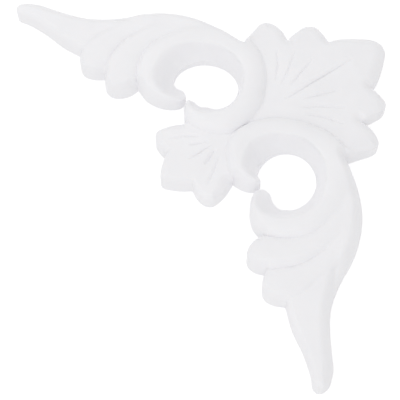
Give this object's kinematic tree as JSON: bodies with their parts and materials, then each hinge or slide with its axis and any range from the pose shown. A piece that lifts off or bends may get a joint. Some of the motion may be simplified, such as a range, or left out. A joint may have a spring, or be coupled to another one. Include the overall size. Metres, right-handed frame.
{
  "type": "plastic corner trim",
  "caption": "L-shaped moulded corner ornament with leaf fans, open scrolls and lobed arms on a flat back, for gluing into the corner of a door, panel or frame.",
  "frame": {"origin": "centre of the square that the ornament fits, on its flat back, under the leaf at the inner corner", "axes": "+Z out of the flat back, the way the relief faces; the outer corner points to +X +Y and the arms run along -X and -Y"},
  "size_m": [0.1, 0.1, 0.0078],
  "materials": {
    "plastic": "white, matte, faint moulding texture"
  },
  "bodies": {
    "root": {"corner_trim": "plastic"}
  },
  "joints": []
}
